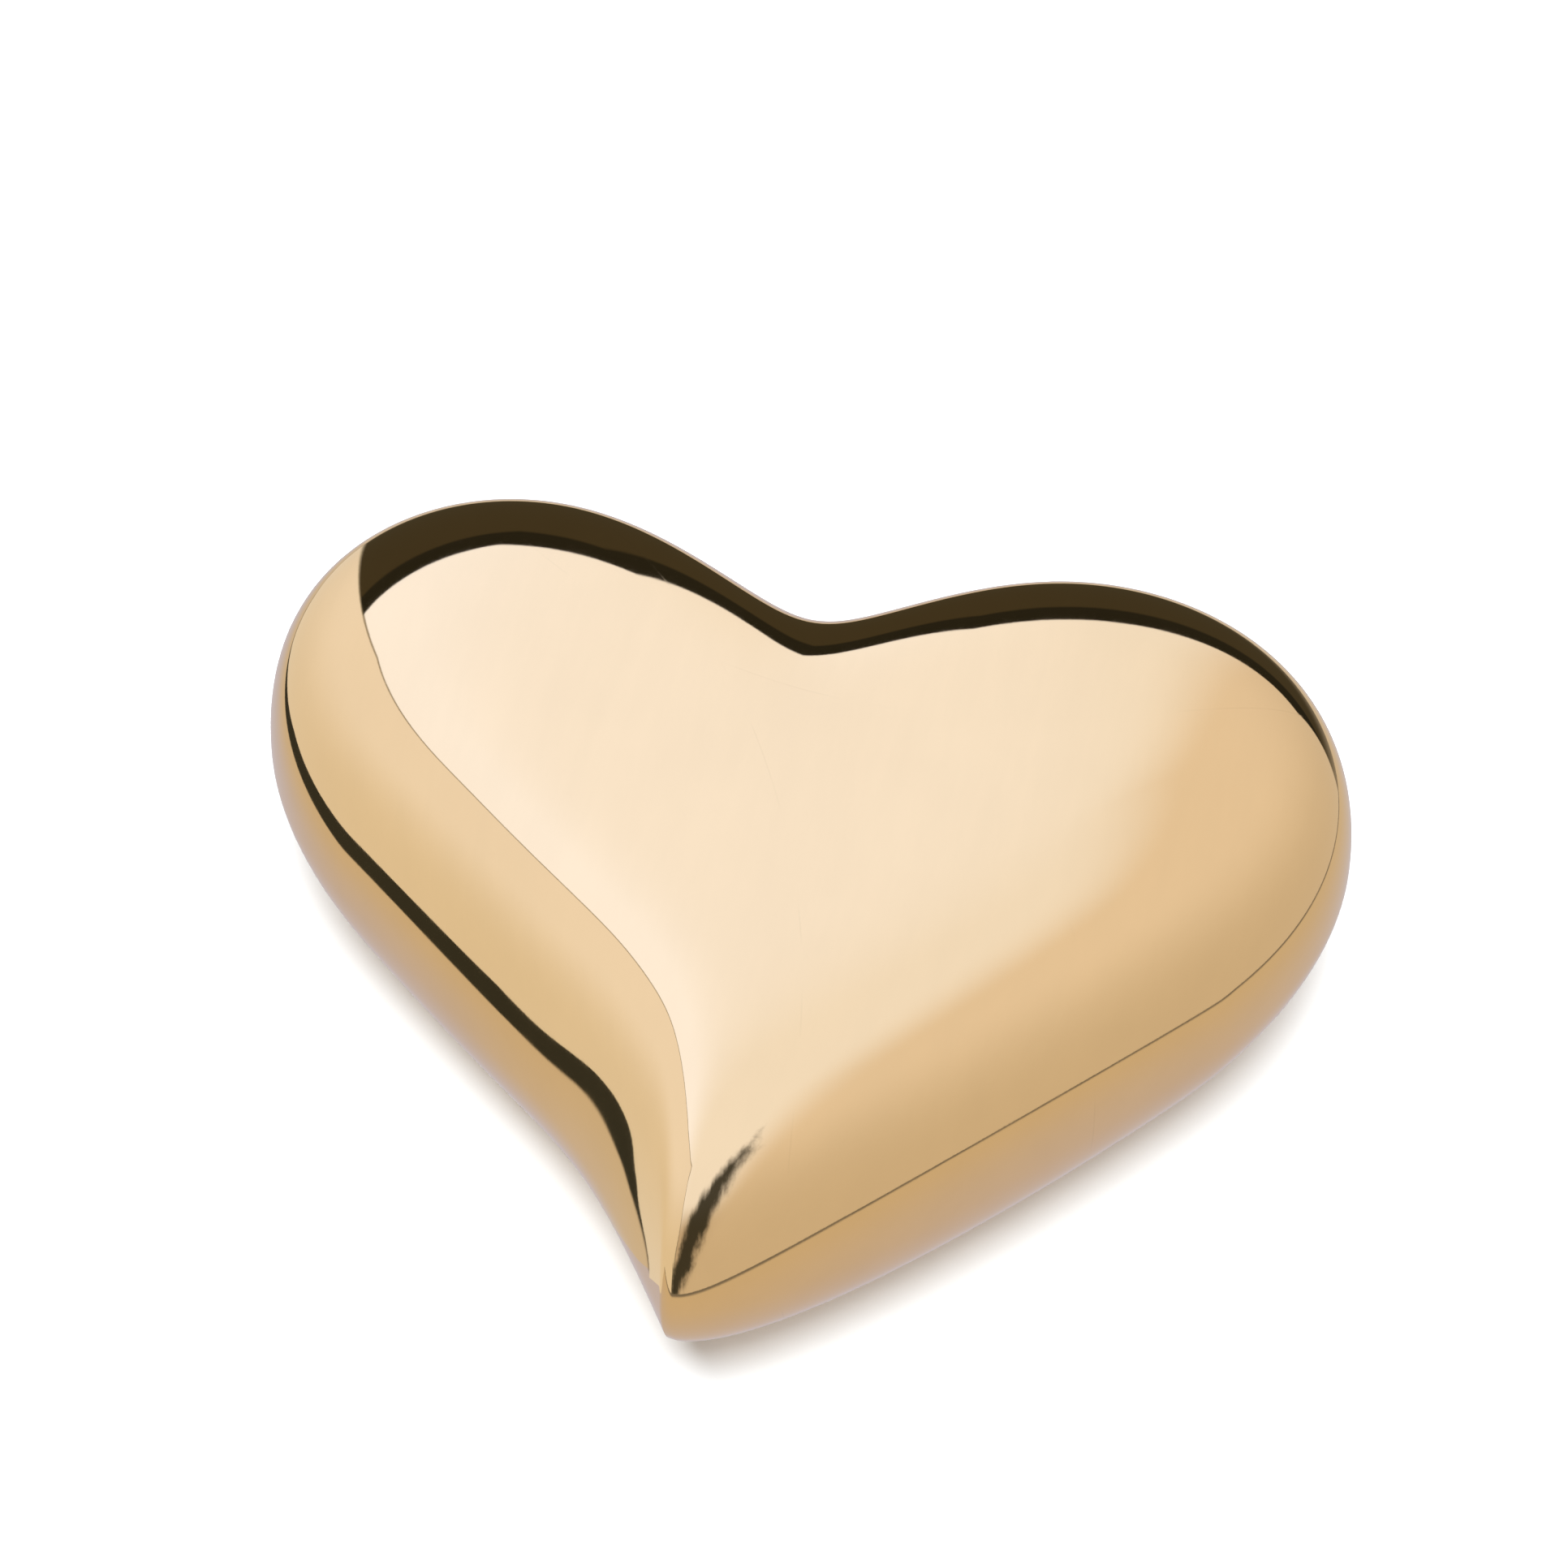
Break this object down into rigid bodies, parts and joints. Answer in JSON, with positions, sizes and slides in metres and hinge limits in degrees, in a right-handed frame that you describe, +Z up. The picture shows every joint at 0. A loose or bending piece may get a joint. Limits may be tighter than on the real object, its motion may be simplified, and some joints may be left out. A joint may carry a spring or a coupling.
{
  "type": "wind-up music box",
  "caption": "Polished brass heart-shaped case closed by a screwed base plate, holding a wind-up comb-and-cylinder movement with its key recessed underneath.",
  "frame": {"origin": "on the resting surface, under the middle of the case's box", "axes": "+Z up, -Y towards the tip of the heart, +X towards the right lobe seen from above with the tip nearest"},
  "size_m": [0.13, 0.1062, 0.0455],
  "materials": {
    "case_brass": "mirror-polished brass with faint hairlines",
    "pale_brass": "satin pale brass",
    "brass": "turned brass",
    "key_brass": "polished brass",
    "cylinder_brass": "fine-turned brass",
    "fan_brass": "thin rolled brass",
    "steel": "turned steel",
    "plate_steel": "brushed nickel-plated steel",
    "comb_steel": "ground hardened steel",
    "spring_steel": "blued spring steel",
    "screw_steel": "slotted steel",
    "zinc": "die-cast zinc",
    "lead": "dull lead",
    "foot_rubber": "matt rubber"
  },
  "bodies": {
    "case": {"case_shell": "case_brass", "closure_ring": "case_brass", "base_plate": "pale_brass", "key_cup": "pale_brass", "closing_screws": "screw_steel", "feet": "foot_rubber", "standoffs": "brass", "mounting_screws": "screw_steel", "bedplate": "zinc", "arbor_bush": "brass", "clutch_spring": "spring_steel", "barrel_bridge": "plate_steel", "bridge_screws": "screw_steel", "cylinder_bracket": "plate_steel", "bracket_screws": "screw_steel", "comb_base": "pale_brass", "comb_base_screws": "screw_steel", "comb": "comb_steel", "tuning_weights": "lead", "comb_screws": "screw_steel", "governor_frame": "plate_steel", "governor_screws": "screw_steel"},
    "winding": {"winding_key": "key_brass", "winding_arbor": "steel"},
    "barrel": {"barrel_drum": "pale_brass", "crown_wheel": "brass", "mainspring": "spring_steel"},
    "cylinder": {"music_cylinder": "cylinder_brass", "cylinder_pins": "steel", "cylinder_caps": "pale_brass", "cylinder_arbor": "steel", "crown_pinion": "brass", "great_wheel": "brass"},
    "governor": {"governor_arbor": "steel", "governor_pinion": "brass", "worm_wheel": "brass"},
    "fan": {"worm": "steel", "air_fan": "fan_brass"}
  },
  "joints": [
    {"name": "key_winding", "type": "hinge", "parent": "case", "child": "winding", "pos_m": [-0.007, 0.002, 0], "axis": [0, 0, 1], "range_deg": [0, 1260]},
    {"name": "cylinder_turn", "type": "hinge", "parent": "case", "child": "cylinder", "pos_m": [0, 0.002, 0.031], "axis": [1, 0, 0], "continuous": true},
    {"name": "barrel_turn", "type": "hinge", "parent": "case", "child": "barrel", "pos_m": [-0.007, 0.002, 0], "axis": [0, 0, 1], "continuous": true},
    {"name": "governor_turn", "type": "hinge", "parent": "case", "child": "governor", "pos_m": [0, 0.01031, 0.0262], "axis": [1, 0, 0], "continuous": true},
    {"name": "fan_turn", "type": "hinge", "parent": "case", "child": "fan", "pos_m": [0.0306, 0.01811, 0], "axis": [0, 0, 1], "continuous": true}
  ],
  "couplings": [
    {"joint": "barrel_turn", "follows": "cylinder_turn", "ratio": 0.33333},
    {"joint": "governor_turn", "follows": "cylinder_turn", "ratio": -5},
    {"joint": "fan_turn", "follows": "cylinder_turn", "ratio": 120}
  ]
}
